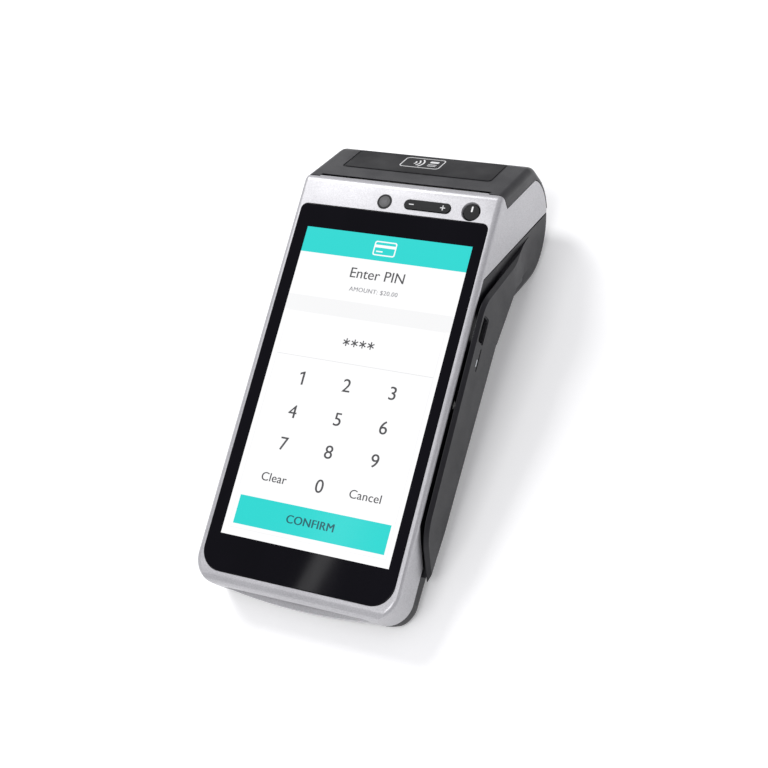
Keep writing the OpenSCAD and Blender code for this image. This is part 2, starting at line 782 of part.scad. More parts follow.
board_z = [-11.3, -10.1];
module main_board() {
  color("darkgreen") place() difference() {
    block([-32, 32], [-50, 48], [board_z[0], board_z[1]]);
    for (x = [-28, 28], y = [-46, 44]) translate([x, y, -13]) cylinder(r = 1.1, h = 5);
  }
}
module can(x, y, h) {
  difference() {
    block(x, y, [board_z[1], board_z[1] + h]);
    block([x[0] + 0.3, x[1] - 0.3], [y[0] + 0.3, y[1] - 0.3], [board_z[1] - 1, board_z[1] + h - 0.3]);
  }
}
module security_shield() {
  color("gainsboro") place() can([-24, 2], [-10, 16], 3);
}
module processor_shield() {
  color("gainsboro") place() can([-24, 20], [20, 40], 2.6);
}
module coin_cell() {
  color("silver") place() translate([15, 3, board_z[1]]) cylinder(r = 6.2, h = 2.4);
}
module chip_card_reader() {
  color([0.13, 0.13, 0.14]) place() difference() {
    block([-31, 31], [-77, -26], [board_z[1], -4.2]);
    block([-card_slot_w / 2, card_slot_w / 2], [-78, -29], [-6.7, -5.6]);
    block([-24, 24], [-60, -34], [-5, -4]);
    for (p = screw_at) translate([p.x, p.y, -12]) cylinder(r = 3.1, h = 12);
    for (i = [0:3]) block([-9.6 + 2.54 * i, -8.2 + 2.54 * i], [-46, -38], [-8.2, -6]);
  }
}
module chip_contacts() {
  color("gold") place() for (i = [0:3], j = [0:1]) translate([-8.9 + 2.54 * i, -44.4 + 4 * j, -8.2])
    block([-0.45, 0.45], [-1.4, 1.4], [0, 1.1]);
}
module sam_sockets() {
  color("silver") place() for (x = [-23, 3]) difference() {
    block([x, x + 15], [-48, -33], [board_z[0] - 1.0, board_z[0]]);
    block([x + 1, x + 14], [-49, -34], [board_z[0] - 0.8, board_z[0] - 0.2]);
  }
}
module speaker() {
  color([0.18, 0.18, 0.18]) place() on_back() {
    block([-19, 10], [-73.5, -65.6], [3.0, 6.4]);
    translate([-4.5, -69.5, 2.6]) linear_extrude(0.4) square([24, 6], center = true);
  }
}
module vibration_motor() {
  color("silver") place() translate([25.5, 42, board_z[1]]) cylinder(r = 4, h = 2.8);
}
module side_antenna() {
  color([0.72, 0.45, 0.2]) place() block([-39.1, -38.8], [-40, 35], [-16, -5]);
}
module housing_screws() {
  color("dimgray") place() for (p = screw_at) translate(p) {
    difference() {
      translate([0, 0, -2.1]) cylinder(r = 2.0, h = 2.1);
      translate([0, 0, -3]) cylinder(r = 0.9, h = 2, $fn = 6);
    }
    cylinder(r = 0.95, h = -4 - p.z);
  }
}
module chassis_screws() {
  color("dimgray") place() for (p = chassis_screw_at) {
    translate([p.x, p.y, -7.4]) cylinder(r = 1.8, h = 1.2);
    translate([p.x, p.y, -6.2]) cylinder(r = 1.0, h = 2.9);
  }
}
// Rubber feet, cut flat where they stand on the table
module rubber_feet() {
  color([0.1, 0.1, 0.1]) intersection() {
    translate([-100, -150, 0]) cube([200, 300, 40]);
    place() difference() {
      union() {
        for (x = [-24, 24]) {
          translate([x, -69.5, back_z0 + 1]) cylinder(r = 5, h = 8);
          translate([x, roll_c.x - head_r * sin(tilt), -far]) cylinder(r = 5, h = 10);
        }
      }
      along_x(3 * half_w) polygon(body_side);
    }
  }
}

front_frame();
cover_glass();
glass_gasket();
lcd_panel();
lcd_backlight();
screen_carrier();
camera_window();
front_camera();
volume_rocker();
power_button();
key_switches();
key_board();
tear_bar();
paper_door();
door_panel();
nfc_antenna();
door_hinge_pins();
platen_roller();
platen_shaft();
platen_gear();
platen_bushings();
printer_chassis();
print_head();
head_heat_sink();
head_springs();
feed_motor();
motor_pinion();
idler_gear();
idler_axle();
paper_roll();
roll_core();
paper_bucket();
rear_housing();
swipe_rail();
mag_read_head();
mag_head_spring();
usb_port();
status_light();
battery_cover();
battery_pack();
battery_tray();
battery_contacts();
speaker();
rubber_feet();
main_board();
security_shield();
processor_shield();
coin_cell();
chip_card_reader();
chip_contacts();
sam_sockets();
vibration_motor();
side_antenna();
housing_screws();
chassis_screws();
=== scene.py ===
# Looks for the card payment terminal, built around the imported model.
# Lengths in the drawing helpers are millimetres; Blender objects are in metres.
import json
import math

import bmesh
import bpy
from mathutils import Matrix, Vector


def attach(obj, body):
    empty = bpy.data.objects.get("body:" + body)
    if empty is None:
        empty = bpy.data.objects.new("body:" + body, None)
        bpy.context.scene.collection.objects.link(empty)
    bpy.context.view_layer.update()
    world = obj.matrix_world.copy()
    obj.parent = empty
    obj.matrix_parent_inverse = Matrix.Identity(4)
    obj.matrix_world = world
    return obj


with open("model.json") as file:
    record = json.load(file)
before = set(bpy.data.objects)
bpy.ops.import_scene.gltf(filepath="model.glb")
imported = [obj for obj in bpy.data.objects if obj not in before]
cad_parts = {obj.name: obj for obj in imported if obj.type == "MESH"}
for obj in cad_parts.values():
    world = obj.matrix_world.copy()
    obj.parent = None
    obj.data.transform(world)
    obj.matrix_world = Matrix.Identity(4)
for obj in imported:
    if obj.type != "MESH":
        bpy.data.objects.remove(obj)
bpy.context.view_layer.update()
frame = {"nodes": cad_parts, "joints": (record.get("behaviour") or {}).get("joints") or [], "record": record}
NODES = frame["nodes"]
JOINTS = {j["name"]: j for j in frame["joints"]}
SLOT_OF = {s["node"]: s["material_slot"] for s in frame["record"]["subparts"]}
MM = 0.001

# ---------------------------------------------------------------- screen frame
# The screen frame sits at the middle of the display: x right, y to the head, z out of
# the glass. It is rebuilt from the volume rocker's hinge, which lies in it.
KEY_ROW_Y = 74.0
ROCKER_X, POWER_X, CAMERA_X = 12.8, 30.4, -4.9
ROCKER_AT = Vector((ROCKER_X, KEY_ROW_Y, -1.5)) * MM
RIGHT = Vector((1, 0, 0))
UP = Vector(JOINTS["volume_rock"]["axis"]).normalized()
OUT = RIGHT.cross(UP)
TURN = Matrix((RIGHT, UP, OUT)).transposed()
ORIGIN = Vector(JOINTS["volume_rock"]["pos_m"]) - TURN @ ROCKER_AT
SCREEN = Matrix.Translation(ORIGIN) @ TURN.to_4x4()
GLASS_TOP = 1.2
BEVEL_EDGE = (81.0, 1.0)


def shifted(x, y, z):
    """The screen frame, moved to a point given in it."""
    return SCREEN @ Matrix.Translation(Vector((x, y, z)) * MM)


def bevel_matrix(x, s):
    """Frame on the paper door's 45 degree bevel, x across and s down from its front edge."""
    k = math.sqrt(0.5)
    turn = Matrix((RIGHT, Vector((0, k, -k)), Vector((0, k, k)))).transposed()
    return shifted(x, BEVEL_EDGE[0] + s * k, BEVEL_EDGE[1] - s * k) @ turn.to_4x4()


# ---------------------------------------------------------------- materials
def new_material(name):
    """Material with an empty tree but for a shader and its output."""
    m = bpy.data.materials.new(name)
    m.use_nodes = True
    nodes = m.node_tree.nodes
    for n in list(nodes):
        nodes.remove(n)
    out = nodes.new("ShaderNodeOutputMaterial")
    shader = nodes.new("ShaderNodeBsdfPrincipled")
    m.node_tree.links.new(shader.outputs[0], out.inputs["Surface"])
    return m, nodes, m.node_tree.links, shader


def noise(nodes, links, scale, detail=2.0, rough=0.5, stretch=(1, 1, 1)):
    """Noise over the object's own coordinates, in cycles per metre."""
    coords = nodes.new("ShaderNodeTexCoord")
    place = nodes.new("ShaderNodeMapping")
    place.inputs["Scale"].default_value = stretch
    links.new(coords.outputs["Object"], place.inputs["Vector"])
    n = nodes.new("ShaderNodeTexNoise")
    n.inputs["Scale"].default_value = scale
    n.inputs["Detail"].default_value = detail
    n.inputs["Roughness"].default_value = rough
    links.new(place.outputs[0], n.inputs["Vector"])
    return n.outputs["Fac"]


def spread(nodes, links, value, low, high):
    """The middle of a noise, stretched between two values."""
    r = nodes.new("ShaderNodeMapRange")
    r.inputs["From Min"].default_value = 0.35
    r.inputs["From Max"].default_value = 0.65
    r.inputs["To Min"].default_value = low
    r.inputs["To Max"].default_value = high
    links.new(value, r.inputs["Value"])
    return r.outputs["Result"]


def two_tone(nodes, links, value, dark, light, a=0.3, b=0.7):
    """Colour that runs from dark to light as a noise runs from a to b."""
    r = nodes.new("ShaderNodeValToRGB")
    r.color_ramp.elements[0].position = a
    r.color_ramp.elements[0].color = (*dark, 1)
    r.color_ramp.elements[1].position = b
    r.color_ramp.elements[1].color = (*light, 1)
    links.new(value, r.inputs["Fac"])
    return r.outputs["Color"]


def bump(nodes, links, shader, height, strength, distance):
    """Lets a noise disturb the shader's normal."""
    b = nodes.new("ShaderNodeBump")
    b.inputs["Strength"].default_value = strength
    b.inputs["Distance"].default_value = distance
    links.new(height, b.inputs["Height"])
    links.new(b.outputs["Normal"], shader.inputs["Normal"])


def shade(color, k):
    """A colour made lighter or darker by a factor."""
    return tuple(min(1.0, c * k) for c in color)


def grained(name, color, rough, grain=2600, depth=0.00004, strength=0.5, metal=0.0,
            vary=0.12, spec=0.5, coat=0.0, drift=60, stretch=(1, 1, 1), fleck=0.0):
    """Moulded plastic, paint, rubber or metal: a fine grain in the bump, and a slow drift
    in colour and roughness such as handling leaves."""
    m, nodes, links, shader = new_material(name)
    slow = noise(nodes, links, drift, 3.0, 0.55)
    fine = noise(nodes, links, grain, 2.0, 0.6, stretch)
    tone = two_tone(nodes, links, slow, shade(color, 1 - vary), shade(color, 1 + vary))
    if fleck:
        mix = nodes.new("ShaderNodeMix")
        mix.data_type = "RGBA"
        mix.blend_type = "OVERLAY"
        mix.inputs["Factor"].default_value = fleck
        flecks = two_tone(nodes, links, fine, (0.3, 0.3, 0.3), (0.75, 0.75, 0.75), 0.35, 0.65)
        links.new(tone, mix.inputs["A"])
        links.new(flecks, mix.inputs["B"])
        tone = mix.outputs["Result"]
    links.new(tone, shader.inputs["Base Color"])
    links.new(spread(nodes, links, slow, rough * 0.88, min(1, rough * 1.12)),
              shader.inputs["Roughness"])
    shader.inputs["Metallic"].default_value = metal
    shader.inputs["Specular IOR Level"].default_value = spec
    shader.inputs["Coat Weight"].default_value = coat
    shader.inputs["Coat Roughness"].default_value = 0.08
    bump(nodes, links, shader, fine, strength, depth)
    return m


def glossy_black(name):
    """Back-printed cover glass: a deep plum black with faint streaks of wiping."""
    m, nodes, links, shader = new_material(name)
    smear = noise(nodes, links, 26, 4.0, 0.6, (1, 0.22, 1))
    tone = two_tone(nodes, links, smear, (0.0012, 0.0010, 0.0026), (0.0026, 0.0021, 0.0046))
    links.new(tone, shader.inputs["Base Color"])
    links.new(spread(nodes, links, smear, 0.035, 0.075), shader.inputs["Roughness"])
    shader.inputs["Specular IOR Level"].default_value = 0.15
    bump(nodes, links, shader, smear, 0.04, 0.00002)
    return m


def lit(name, color):
    """A patch of the display picture, drawn by the screen's own light in fine dots."""
    m, nodes, links, shader = new_material(name)
    cells = nodes.new("ShaderNodeTexVoronoi")
    cells.inputs["Scale"].default_value = 9000
    coords = nodes.new("ShaderNodeTexCoord")
    links.new(coords.outputs["Object"], cells.inputs["Vector"])
    soft = noise(nodes, links, 18, 2.0)
    tone = two_tone(nodes, links, soft, shade(color, 0.988), shade(color, 1.012))
    dots = nodes.new("ShaderNodeMix")
    dots.data_type = "RGBA"
    dots.blend_type = "MULTIPLY"
    dots.inputs["Factor"].default_value = 0.03
    links.new(tone, dots.inputs["A"])
    links.new(cells.outputs["Color"], dots.inputs["B"])
    links.new(dots.outputs["Result"], shader.inputs["Emission Color"])
    shader.inputs["Emission Strength"].default_value = 1.0
    shader.inputs["Base Color"].default_value = (*shade(color, 0.05), 1)
    shader.inputs["Roughness"].default_value = 0.12
    shader.inputs["Specular IOR Level"].default_value = 0.3
    return m


# Grain in cycles per metre, depth in metres; what is left out is as grained() has it
FINISHES = {
    "frame_silver": dict(color=(0.475, 0.47, 0.488), rough=0.38, grain=2300, depth=0.00002,
                         strength=0.35, metal=0.35, vary=0.02, coat=0.12, fleck=0.26),
    "gasket_black": dict(color=(0.012, 0.012, 0.013), rough=0.75, grain=1800, depth=0.00003),
    "display_stack": dict(color=(0.82, 0.84, 0.86), rough=0.3, grain=900, depth=0.00001,
                          strength=0.2),
    "die_cast": dict(color=(0.42, 0.42, 0.43), rough=0.48, grain=900, depth=0.00006, strength=0.6,
                     metal=0.9),
    "dark_window": dict(color=(0.022, 0.022, 0.025), rough=0.1, grain=700, depth=0.00001,
                        strength=0.1, coat=0.6),
    "camera_black": dict(color=(0.03, 0.03, 0.033), rough=0.6, grain=2200, depth=0.00003),
    "key_dark": dict(color=(0.004, 0.004, 0.005), rough=0.42, grain=3000, depth=0.00002,
                     strength=0.4, spec=0.19),
    "stamped_steel": dict(color=(0.55, 0.55, 0.54), rough=0.34, grain=1500, depth=0.00002,
                          strength=0.5, metal=1.0, stretch=(1, 8, 1)),
    "circuit_board": dict(color=(0.012, 0.10, 0.045), rough=0.35, grain=900, depth=0.00003,
                          strength=0.5, vary=0.25, coat=0.3),
    "bright_steel": dict(color=(0.36, 0.36, 0.36), rough=0.3, grain=1800, depth=0.00001,
                         strength=0.3, metal=1.0, stretch=(6, 1, 1)),
    "shell_dark": dict(color=(0.0088, 0.0084, 0.0112), rough=0.42, grain=2400, depth=0.00005,
                       strength=0.5, vary=0.08, spec=0.32, fleck=0.25),
    "panel_dark": dict(color=(0.0040, 0.0037, 0.0052), rough=0.46, grain=2400, depth=0.00004,
                       strength=0.4, vary=0.08, spec=0.16, fleck=0.2),
    "copper": dict(color=(0.70, 0.33, 0.17), rough=0.3, grain=1400, depth=0.00001, strength=0.4,
                   metal=1.0),
    "roller_rubber": dict(color=(0.025, 0.025, 0.026), rough=0.7, grain=2400, depth=0.00004,
                          strength=0.7, stretch=(0.3, 3, 3)),
    "gear_nylon": dict(color=(0.78, 0.77, 0.72), rough=0.45, grain=1500, depth=0.00002,
                       strength=0.3),
    "bronze": dict(color=(0.55, 0.38, 0.17), rough=0.32, grain=1500, depth=0.00002, strength=0.4,
                   metal=1.0),
    "head_ceramic": dict(color=(0.23, 0.13, 0.07), rough=0.22, grain=900, depth=0.00001,
                         strength=0.3, coat=0.4),
    "aluminium": dict(color=(0.70, 0.70, 0.71), rough=0.38, grain=1600, depth=0.00002,
                      strength=0.5, metal=1.0, stretch=(1, 6, 1)),
    "spring_steel": dict(color=(0.45, 0.45, 0.45), rough=0.3, grain=1800, depth=0.00001,
                         strength=0.4, metal=1.0),
    "motor_can": dict(color=(0.52, 0.52, 0.51), rough=0.33, grain=1600, depth=0.00002,
                      strength=0.5, metal=1.0, stretch=(1, 5, 1)),
    "paper": dict(color=(0.84, 0.84, 0.81), rough=0.85, grain=1800, depth=0.00004, strength=0.6,
                  vary=0.025, stretch=(0.2, 6, 6)),
    "cardboard": dict(color=(0.36, 0.25, 0.14), rough=0.9, grain=1500, depth=0.00006, strength=0.7,
                      vary=0.2),
    "inner_plastic": dict(color=(0.03, 0.03, 0.033), rough=0.62, grain=1800, depth=0.00004),
    "light_pipe": dict(color=(0.7, 0.73, 0.76), rough=0.35, grain=1500, depth=0.00002,
                       strength=0.3),
    "battery_wrap": dict(color=(0.035, 0.035, 0.042), rough=0.35, grain=300, depth=0.00005,
                         strength=0.4, coat=0.3),
    "gold": dict(color=(0.80, 0.56, 0.16), rough=0.25, grain=1800, depth=0.00001, strength=0.3,
                 metal=1.0),
    "foot_rubber": dict(color=(0.022, 0.022, 0.023), rough=0.82, grain=1600, depth=0.00005,
                        strength=0.7),
    "reader_plastic": dict(color=(0.02, 0.02, 0.022), rough=0.6, grain=1800, depth=0.00003),
    "screw_steel": dict(color=(0.07, 0.07, 0.075), rough=0.36, grain=1400, depth=0.00002,
                        strength=0.4, metal=0.9),
}
SLOTS = {name: grained(name, **finish) for name, finish in FINISHES.items()}
SLOTS["cover_glass"] = glossy_black("cover_glass")
WHITE = lit("picture_white", (0.965, 0.965, 0.97))
GREY_BAND = lit("picture_grey", (0.90, 0.90, 0.905))
HAIRLINE = lit("picture_line", (0.74, 0.74, 0.75))
TEAL = lit("picture_teal", (0.026, 0.665, 0.625))
DIGITS = lit("picture_digits", (0.085, 0.085, 0.09))
FAINT = lit("picture_faint", (0.30, 0.30, 0.32))
CONFIRM = lit("picture_confirm", (0.02, 0.12, 0.14))
PRINT = grained("marking_white", (0.80, 0.80, 0.80), 0.5, 2600, 0.00001, 0.3, vary=0.03)

# ---------------------------------------------------------------- CAD nodes
# Edges that show get a small radius, in millimetres, after flat faces are joined up
WELD_M, FLAT_DEG, SHARP_DEG = 0.000002, 0.6, 32
EDGE = {
    "front_frame": 0.30, "paper_door": 0.35, "rear_housing": 0.35, "swipe_rail": 0.30,
    "door_panel": 0.15, "battery_cover": 0.3, "cover_glass": 0.25, "volume_rocker": 0.22,
    "power_button": 0.25, "usb_port": 0.1, "camera_window": 0.12, "rubber_feet": 0.25,
    "tear_bar": 0.04, "printer_chassis": 0.1, "paper_bucket": 0.12, "housing_screws": 0.12,
    "feed_motor": 0.2, "platen_roller": 0.15, "paper_roll": 0.1, "chip_card_reader": 0.15,
}


def soften(obj, radius):
    """Rounds a node's sharp edges with modifiers, and shades it smooth."""
    weld = obj.modifiers.new("weld", "WELD")
    weld.merge_threshold = WELD_M
    flat = obj.modifiers.new("flat", "DECIMATE")
    flat.decimate_type = "DISSOLVE"
    flat.angle_limit = math.radians(FLAT_DEG)
    soft = obj.modifiers.new("soft", "BEVEL")
    soft.width = radius * MM
    soft.segments = 2
    soft.limit_method = "ANGLE"
    soft.angle_limit = math.radians(SHARP_DEG)
    soft.use_clamp_overlap = True
    even = obj.modifiers.new("even", "WEIGHTED_NORMAL")
    even.mode = "FACE_AREA"
    even.weight = 100
    for face in obj.data.polygons:
        face.use_smooth = True


for name, obj in NODES.items():
    obj.data.materials.clear()
    obj.data.materials.append(SLOTS[SLOT_OF[name]])
    if name in EDGE:
        soften(obj, EDGE[name])


# ---------------------------------------------------------------- drawing helpers
def mesh_piece(name, bm, mat, matrix, body):
    """A new piece from a bmesh, riding on a body and finished as a material slot."""
    mesh = bpy.data.meshes.new(name)
    bm.to_mesh(mesh)
    bm.free()
    mesh.materials.append(mat)
    obj = bpy.data.objects.new(name, mesh)
    bpy.context.scene.collection.objects.link(obj)
    obj.matrix_world = matrix
    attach(obj, body)


def prism(bm, outline, z0, z1):
    """Closed prism over an outline of (x, y) points, between two heights."""
    low = [bm.verts.new(Vector((x, y, z0)) * MM) for x, y in outline]
    high = [bm.verts.new(Vector((x, y, z1)) * MM) for x, y in outline]
    bm.faces.new(high)
    bm.faces.new(list(reversed(low)))
    n = len(outline)
    for i in range(n):
        j = (i + 1) % n
        bm.faces.new((low[i], low[j], high[j], high[i]))


def box(x0, y0, x1, y1):
    """Outline of a rectangle."""
    return [(x0, y0), (x1, y0), (x1, y1), (x0, y1)]


def rounded(x0, y0, x1, y1, r, steps=6):
    """Outline of a rectangle with round corners."""
    pts = []
    for cx, cy, a in ((x1 - r, y0 + r, -90), (x1 - r, y1 - r, 0), (x0 + r, y1 - r, 90),
                      (x0 + r, y0 + r, 180)):
        for i in range(steps + 1):
            t = math.radians(a + 90 * i / steps)
            pts.append((cx + r * math.cos(t), cy + r * math.sin(t)))
    return pts


def band(bm, outer, inner, z0, z1):
    """Closed ring between two outlines with the same number of points."""
    n = len(outer)
    rings = [[bm.verts.new(Vector((x, y, z)) * MM) for x, y in pts]
             for pts, z in ((outer, z0), (outer, z1), (inner, z1), (inner, z0))]
    for a, b in zip(rings, rings[1:] + rings[:1]):
        for i in range(n):
            j = (i + 1) % n
            bm.faces.new((a[i], a[j], b[j], b[i]))


def stroke(points, width):
    """Outline of a line of the given width through some points, with flat ends."""
    left, right = [], []
    for i, p in enumerate(points):
        a = Vector(points[max(i - 1, 0)])
        b = Vector(points[min(i + 1, len(points) - 1)])
        d = (b - a).normalized()
        n = Vector((-d.y, d.x)) * width / 2
        left.append((p[0] + n.x, p[1] + n.y))
        right.append((p[0] - n.x, p[1] - n.y))
    return right + left[::-1]


def arc_points(cx, cy, r, a0, a1, steps=14):
    """Points along an arc between two angles in degrees."""
    return [(cx + r * math.cos(math.radians(a0 + (a1 - a0) * i / steps)),
             cy + r * math.sin(math.radians(a0 + (a1 - a0) * i / steps)))
            for i in range(steps + 1)]


def circle(r, steps):
    """Outline of a circle about the origin."""
    return arc_points(0, 0, r, 0, 360 * (1 - 1 / steps), steps - 1)


# The picture is a stack of thin films on the glass
FILM = 0.004
PICTURE_Z = GLASS_TOP + FILM
LAYER_STEP = 0.006
TOP_LAYER = 3


def picture(name, outline, mat, layer):
    """One flat patch of the display picture, with its top at a layer."""
    bm = bmesh.new()
    z = PICTURE_Z + LAYER_STEP * layer
    prism(bm, outline, z - FILM, z)
    mesh_piece(name, bm, mat, SCREEN, "terminal")


def words(name, text, x, y, size, mat, spacing=1.0, bold=0.0):
    """Text on the picture, centred on a point, as closed meshes. Bold text is drawn twice,
    the second time a little to the right."""
    curve = bpy.data.curves.new(name, "FONT")
    curve.body = text
    curve.size = size * MM
    curve.align_x = "CENTER"
    curve.align_y = "CENTER"
    curve.space_character = spacing
    curve.extrude = 0.002 * MM
    curve.resolution_u = 6
    made = bpy.data.objects.new(name + "_curve", curve)
    bpy.context.scene.collection.objects.link(made)
    bpy.context.view_layer.update()
    graph = bpy.context.evaluated_depsgraph_get()
    mesh = bpy.data.meshes.new_from_object(made.evaluated_get(graph))
    bpy.data.objects.remove(made)
    xs = [v.co.x for v in mesh.vertices]
    ys = [v.co.y for v in mesh.vertices]
    mesh.transform(Matrix.Translation((-(min(xs) + max(xs)) / 2, -(min(ys) + max(ys)) / 2, 0)))
    mesh.materials.clear()
    bm = bmesh.new()
    bm.from_mesh(mesh)
    if bold:
        again = bmesh.ops.duplicate(bm, geom=bm.verts[:] + bm.edges[:] + bm.faces[:])
        moved = [v for v in again["geom"] if isinstance(v, bmesh.types.BMVert)]
        bmesh.ops.translate(bm, vec=Vector((bold, 0, 0.001)) * MM, verts=moved)
    bpy.data.meshes.remove(mesh)
    place = shifted(x - bold / 2, y, PICTURE_Z + LAYER_STEP * TOP_LAYER)
    mesh_piece(name, bm, mat, place, "terminal")


# ---------------------------------------------------------------- display picture
X0, X1, Y0, Y1 = -33.6, 34.7, -61.0, 60.5
MID = (X0 + X1) / 2
HEADER_Y = 50.4
BAND_Y = (27.0, 33.2)
CARD = (-31.6, -58.2, 32.9, 27.0)
CARD_LINE = 0.25
DIVIDER_Y = (9.45, 9.65)
CONFIRM_BOX = (-29.9, -56.5, 31.6, -45.7)
STAR_AT, STAR_STEP, STAR_R, STAR_W = (0.4, 17.6), 3.35, 1.5, 0.48
COLUMNS, ROWS = (-18.4, 0.25, 18.9), (1.35, -11.7, -24.2)
ZERO_Y = -37.1
DIGIT_SIZE, LABEL_SIZE = 7.2, 4.6

picture("picture_ground", box(X0, Y0, X1, Y1), WHITE, 0)
picture("picture_header", box(X0, HEADER_Y, X1, Y1), TEAL, 1)
picture("picture_band", box(X0, BAND_Y[0], X1, BAND_Y[1]), GREY_BAND, 1)
bm = bmesh.new()
band(bm, box(*CARD), box(CARD[0] + CARD_LINE, CARD[1] + CARD_LINE,
                         CARD[2] - CARD_LINE, CARD[3] - CARD_LINE),
     PICTURE_Z + LAYER_STEP, PICTURE_Z + LAYER_STEP + FILM)
mesh_piece("picture_card_edge", bm, GREY_BAND, SCREEN, "terminal")
picture("picture_divider", box(CARD[0], DIVIDER_Y[0], CARD[2], DIVIDER_Y[1]), HAIRLINE, 1)
picture("picture_confirm", box(*CONFIRM_BOX), TEAL, 1)
words("word_enter", "Enter PIN", MID - 0.1, 44.6, 5.7, DIGITS, bold=0.08)
words("word_amount", "AMOUNT: $20.00", MID, 38.1, 2.45, FAINT, spacing=1.08, bold=0.08)

# Four stars of three crossed strokes, each stroke a hair above the last
for i in range(4):
    bm = bmesh.new()
    for k in range(3):
        turn = math.radians(90 + 60 * k)
        u = Vector((math.cos(turn), math.sin(turn))) * STAR_R
        z = PICTURE_Z + 2 * LAYER_STEP + 0.003 * k
        prism(bm, stroke([(-u.x, -u.y), (u.x, u.y)], STAR_W), z, z + 0.003)
    place = shifted(STAR_AT[0] + STAR_STEP * (i - 1.5), STAR_AT[1], 0)
    mesh_piece(f"star_{i + 1}", bm, DIGITS, place, "terminal")

for i in range(1, 9):
    words(f"digit_{i + 1}", str(i + 1), COLUMNS[i % 3], ROWS[i // 3], DIGIT_SIZE, DIGITS,
          bold=0.1)
# The typeface's own 1 is a bare stroke, so it gets a flag
picture("digit_1", [(-18.35, -1.2), (-17.55, -1.2), (-17.55, 3.95), (-18.05, 3.95),
                    (-19.55, 3.3), (-19.55, 2.5), (-18.35, 3.05)], DIGITS, TOP_LAYER)
words("digit_0", "0", COLUMNS[1], ZERO_Y, DIGIT_SIZE, DIGITS, bold=0.1)
words("word_clear", "Clear", COLUMNS[0], ZERO_Y - 0.3, LABEL_SIZE, DIGITS, 1.03, 0.1)
words("word_cancel", "Cancel", COLUMNS[2], ZERO_Y - 0.4, LABEL_SIZE, DIGITS, 1.03, 0.1)
words("word_confirm", "CONFIRM", MID, -51.0, 4.35, CONFIRM, 1.04, 0.22)

# Plain card drawing in the header: an outline, its stripe and a short line
bm = bmesh.new()
z0 = PICTURE_Z + 2 * LAYER_STEP
z1 = z0 + FILM
band(bm, rounded(MID - 4.6, 52.4, MID + 4.6, 58.2, 0.9),
     rounded(MID - 4.1, 52.9, MID + 4.1, 57.7, 0.5), z0, z1)
prism(bm, box(MID - 4.3, 55.6, MID + 4.3, 56.7), z0, z1)
prism(bm, box(MID - 3.3, 53.8, MID - 0.6, 54.3), z0, z1)
mesh_piece("header_card_sign", bm, WHITE, SCREEN, "terminal")

# ---------------------------------------------------------------- markings
PRINT_T = 0.01
ROCKER_TOP, POWER_TOP = 1.5, 0.35
CAMERA_TOP = 1.1
PANEL_MID = (-1.6, 23.4)
WINDOW_R, IRIS_R = 2.85, 2.2


def sign(name, matrix, body, shapes, mat=PRINT, lift=0.0):
    """A marking made of thin prisms, standing a little above a surface."""
    bm = bmesh.new()
    for outline in shapes:
        prism(bm, outline, lift, lift + PRINT_T)
    mesh_piece(name, bm, mat, matrix, body)


rocker_top = shifted(ROCKER_X, KEY_ROW_Y, ROCKER_TOP)
sign("sign_minus", rocker_top, "rocker", [rounded(-7.4, -0.17, -5.4, 0.17, 0.1, 3)])
sign("sign_plus", rocker_top, "rocker",
     [rounded(5.4, -0.17, 7.4, 0.17, 0.1, 3), rounded(6.23, -1.0, 6.57, 1.0, 0.1, 3)])
sign("sign_power", shifted(POWER_X, KEY_ROW_Y, POWER_TOP), "power",
     [rounded(-0.32, 0.1, 0.32, 2.3, 0.2, 4)])

# Generic tap-a-card sign on the door panel: a card outline, three waves and three bars
bm = bmesh.new()
z0, z1 = -0.05, 0.012
band(bm, rounded(-8.4, -4.6, 8.4, 4.8, 1.6), rounded(-8.0, -4.2, 8.0, 4.4, 1.25), z0, z1)
for r in (1.8, 3.4, 5.0):
    prism(bm, stroke(arc_points(-4.6, 0.1, r, -42, 42), 0.62), z0, z1)
prism(bm, rounded(2.6, -2.2, 6.2, -1.7, 0.2, 3), z0, z1)
prism(bm, rounded(2.6, -0.9, 6.2, -0.4, 0.2, 3), z0, z1)
prism(bm, rounded(2.6, 0.9, 6.2, 2.6, 0.3, 3), z0, z1)
mesh_piece("sign_tap", bm, PRINT, bevel_matrix(*PANEL_MID), "door")

# Painted shade: a dark ring at the bottom of the groove round the panel, making the groove look as black as
# its shadow
bm = bmesh.new()
band(bm, rounded(-31.45, 12.25, 31.45, 30.85, 2.1), rounded(-30.82, 13.42, 30.82, 30.18, 1.45),
     -0.85, -0.25)
mesh_piece("panel_groove_shade", bm, SLOTS["gasket_black"], bevel_matrix(0, 0), "door")

# Two small raised bars on the lower lip
sign("sign_insert", shifted(-2.0, -79.9, -7.98), "terminal",
     [rounded(-3.6, -0.55, -0.4, 0.75, 0.2, 3), rounded(0.4, -0.1, 3.2, 0.1, 0.05, 3)],
     mat=SLOTS["frame_silver"], lift=0.02)

# Camera window: black printed ring, grey inside, small lens
camera_top = shifted(CAMERA_X, KEY_ROW_Y, CAMERA_TOP)
IRIS_PRINT = grained("camera_print", (0.032, 0.032, 0.035), 0.3, 900, 0.00001, 0.1)
LENS = grained("lens_coating", (0.07, 0.068, 0.075), 0.22, 500, 0.00001, 0.1, coat=0.4)
bm = bmesh.new()
band(bm, circle(WINDOW_R, 48), circle(IRIS_R, 48), 0, 0.02)
mesh_piece("camera_ring", bm, SLOTS["gasket_black"], camera_top, "terminal")
bm = bmesh.new()
prism(bm, circle(IRIS_R, 48), 0, 0.01)
mesh_piece("camera_iris", bm, IRIS_PRINT, camera_top, "terminal")
bm = bmesh.new()
for r, z in ((1.2, 0.03), (0.8, 0.05), (0.35, 0.06)):
    prism(bm, circle(r, 24), z - 0.02, z)
mesh_piece("camera_lens", bm, LENS, camera_top, "terminal")

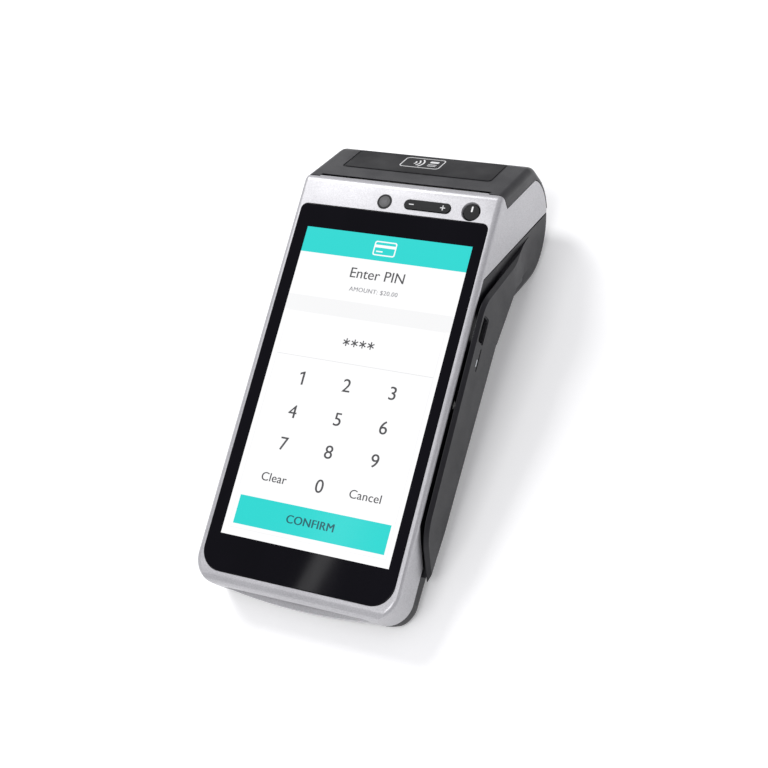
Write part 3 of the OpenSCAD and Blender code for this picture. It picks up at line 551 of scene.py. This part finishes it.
# ---------------------------------------------------------------- stage
FLOOR_HALF, FLOOR_GAP = 4.0, 0.0002
paper, nodes, links, shader = new_material("stage_paper")
clouds = noise(nodes, links, 3, 2)
links.new(two_tone(nodes, links, clouds, (0.93, 0.93, 0.93), (0.95, 0.95, 0.95)),
          shader.inputs["Base Color"])
shader.inputs["Emission Color"].default_value = (1, 1, 1, 1)
shader.inputs["Emission Strength"].default_value = 0.22
shader.inputs["Roughness"].default_value = 0.9
shader.inputs["Specular IOR Level"].default_value = 0.1
bm = bmesh.new()
bmesh.ops.create_grid(bm, x_segments=8, y_segments=8, size=FLOOR_HALF)
mesh = bpy.data.meshes.new("floor")
bm.to_mesh(mesh)
bm.free()
mesh.materials.append(paper)
floor = bpy.data.objects.new("floor", mesh)
bpy.context.scene.collection.objects.link(floor)
floor.location = (0, 0, -FLOOR_GAP)


def soft_box(name, where, target, size, power, along=(0, 1, 0)):
    """Area light at a point, facing a target, with its second side along a direction."""
    light = bpy.data.lights.new(name, "AREA")
    light.shape = "RECTANGLE"
    light.size, light.size_y = size
    light.energy = power
    obj = bpy.data.objects.new(name, light)
    bpy.context.scene.collection.objects.link(obj)
    back = (Vector(where) - Vector(target)).normalized()
    side = Vector(along).cross(back).normalized()
    turn = Matrix((side, back.cross(side), back)).transposed()
    obj.matrix_world = Matrix.Translation(Vector(where)) @ turn.to_4x4()


AIM = (0, 0, 0.02)
soft_box("key", (-0.88, 0.62, 1.38), AIM, (0.6, 0.6), 14.2)
soft_box("fill", (0.0, -0.70, 1.5), AIM, (0.8, 0.6), 9.5)
# Narrow strip that draws one soft line across the lower bezel
soft_box("strip", (-0.5475, -0.2376, 1.1892), (0.0063, -0.0821, 0.0234), (0.020, 0.26), 0.064,
         (0.2544, 0.9381, 0.2351))

# Plain white to the camera, and a softer even light to everything else
world = bpy.data.worlds.new("studio")
world.use_nodes = True
nodes, links = world.node_tree.nodes, world.node_tree.links
even = nodes["Background"]
even.inputs["Color"].default_value = (0.95, 0.95, 1.0, 1)
even.inputs["Strength"].default_value = 0.46
plain = nodes.new("ShaderNodeBackground")
plain.inputs["Color"].default_value = (1, 1, 1, 1)
plain.inputs["Strength"].default_value = 1.0
mix = nodes.new("ShaderNodeMixShader")
links.new(nodes.new("ShaderNodeLightPath").outputs["Is Camera Ray"], mix.inputs["Fac"])
links.new(even.outputs["Background"], mix.inputs[1])
links.new(plain.outputs["Background"], mix.inputs[2])
links.new(mix.outputs["Shader"], nodes["World Output"].inputs["Surface"])
bpy.context.scene.world = world
bpy.context.scene.view_settings.view_transform = "Standard"

# ---------------------------------------------------------------- camera
camera = bpy.data.objects.new("camera", bpy.data.cameras.new("camera"))
bpy.context.scene.collection.objects.link(camera)
camera.data.lens = 74.953
camera.data.sensor_width = 36
camera.data.clip_start = 0.01
camera.data.clip_end = 20
camera.rotation_mode = "QUATERNION"
camera.location = (0.250328, -0.243971, 0.515602)
camera.rotation_quaternion = (0.945623, 0.236173, 0.184598, 0.126263)
bpy.context.scene.camera = camera
